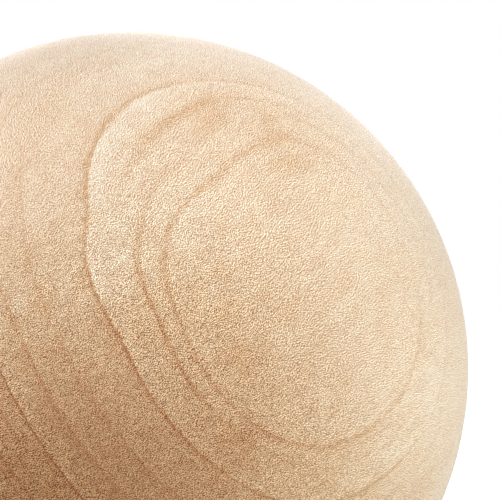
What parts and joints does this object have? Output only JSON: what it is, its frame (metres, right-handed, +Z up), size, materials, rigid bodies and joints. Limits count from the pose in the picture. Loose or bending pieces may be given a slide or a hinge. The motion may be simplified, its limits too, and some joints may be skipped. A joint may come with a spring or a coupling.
{
  "type": "wooden ball",
  "caption": "Solid turned ball of pale, fine-grained hardwood, sanded smooth and unfinished: a full sphere to cradle, glue, drill or paint.",
  "frame": {"origin": "centre of the ball", "axes": "+Z up as the ball is held, with the seat at its lowest point, and -Y towards the viewer"},
  "size_m": [0.08, 0.08, 0.08],
  "materials": {
    "hardwood": "bare, fine sanded"
  },
  "bodies": {
    "root": {"ball": "hardwood"}
  },
  "joints": []
}
